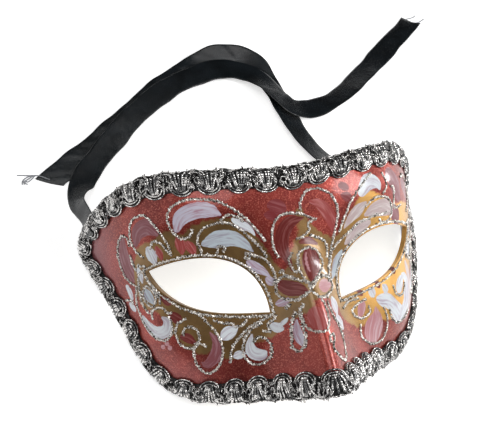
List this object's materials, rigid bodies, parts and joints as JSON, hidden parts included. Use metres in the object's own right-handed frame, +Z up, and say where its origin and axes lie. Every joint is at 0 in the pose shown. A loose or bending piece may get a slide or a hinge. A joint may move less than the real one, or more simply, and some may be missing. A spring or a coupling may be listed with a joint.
{
  "type": "venetian mask",
  "caption": "Papier-mache half mask with eye holes and a nose ridge, edged with looped braid, with flat satin ties fixed inside the temples.",
  "frame": {"origin": "on the table, under the middle of the resting mask", "axes": "+Z up from the table, +X across the face, +Y from the nose towards the forehead edge, so the face looks up and towards -Y"},
  "size_m": [0.222, 0.21, 0.0675],
  "materials": {
    "painted_papier_mache": "copper-red metallic paint with glossy petals and silver glitter lines",
    "silver_braid": "silver metallic yarn",
    "black_satin": "satin"
  },
  "bodies": {
    "root": {"shell": "painted_papier_mache", "braid": "silver_braid", "ribbon_left": "black_satin", "ribbon_right": "black_satin"}
  },
  "joints": []
}
